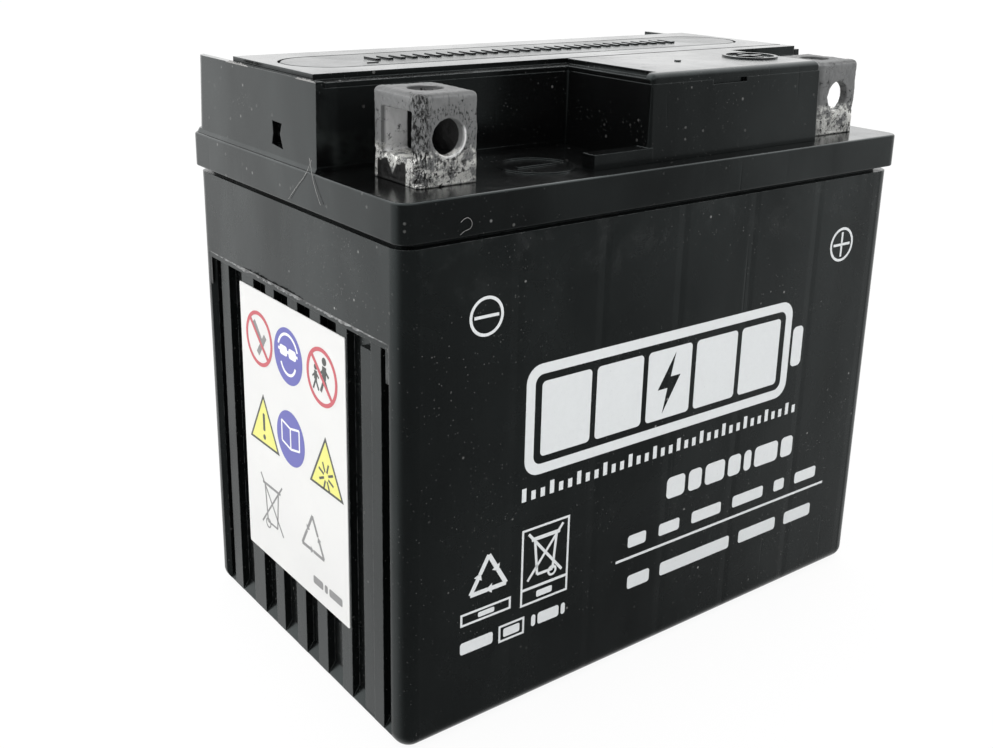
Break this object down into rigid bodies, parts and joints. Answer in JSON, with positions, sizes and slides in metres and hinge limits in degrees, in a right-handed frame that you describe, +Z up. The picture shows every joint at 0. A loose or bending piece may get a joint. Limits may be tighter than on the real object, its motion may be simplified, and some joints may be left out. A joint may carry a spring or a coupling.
{
  "type": "motorcycle battery",
  "caption": "Small sealed lead-acid motorcycle battery: ribbed plastic case, welded lid with two terminal bays, hollow lead terminals and a lift-out plug strip.",
  "frame": {"origin": "on the ground under the middle of the box", "axes": "+X along the long side towards the positive terminal, -Y towards the printed side and both terminals, +Z up"},
  "size_m": [0.1134, 0.0706, 0.1057],
  "materials": {
    "case_plastic": "satin black polypropylene",
    "lid_plastic": "semi-gloss black polypropylene",
    "plug_plastic": "satin black polypropylene",
    "rubber": "matt black rubber",
    "porous_filter": "white porous sintered plastic",
    "label_film": "satin white film",
    "lead": "dull cast lead, scuffed",
    "strap_lead": "dull cast lead",
    "positive_paste": "dark brown lead dioxide paste",
    "negative_paste": "grey sponge lead paste",
    "glass_mat": "white glass-fibre mat",
    "negative_resin": "black sealing resin",
    "positive_resin": "red sealing resin"
  },
  "bodies": {
    "battery": {"case": "case_plastic", "end_label": "label_film", "intercell_welds": "strap_lead", "lid": "lid_plastic", "negative_bushing": "lead", "negative_gasket": "rubber", "negative_plates_1": "negative_paste", "negative_plates_2": "negative_paste", "negative_plates_3": "negative_paste", "negative_plates_4": "negative_paste", "negative_plates_5": "negative_paste", "negative_plates_6": "negative_paste", "negative_potting": "negative_resin", "negative_strap_1": "strap_lead", "negative_strap_2": "strap_lead", "negative_strap_3": "strap_lead", "negative_strap_4": "strap_lead", "negative_strap_5": "strap_lead", "negative_strap_6": "strap_lead", "negative_terminal": "lead", "positive_bushing": "lead", "positive_gasket": "rubber", "positive_plates_1": "positive_paste", "positive_plates_2": "positive_paste", "positive_plates_3": "positive_paste", "positive_plates_4": "positive_paste", "positive_plates_5": "positive_paste", "positive_plates_6": "positive_paste", "positive_potting": "positive_resin", "positive_strap_1": "strap_lead", "positive_strap_2": "strap_lead", "positive_strap_3": "strap_lead", "positive_strap_4": "strap_lead", "positive_strap_5": "strap_lead", "positive_strap_6": "strap_lead", "positive_terminal": "lead", "separators_1": "glass_mat", "separators_2": "glass_mat", "separators_3": "glass_mat", "separators_4": "glass_mat", "separators_5": "glass_mat", "separators_6": "glass_mat", "top_cover": "lid_plastic", "valve_caps": "rubber", "vent_chamber": "lid_plastic", "vent_filter": "porous_filter"},
    "plugs": {"plug_strip": "plug_plastic", "plug_seals": "rubber"}
  },
  "joints": [
    {"name": "plug_strip_lift", "type": "slide", "parent": "battery", "child": "plugs", "axis": [0, 0, 1], "range_m": [0, 0.022]}
  ]
}
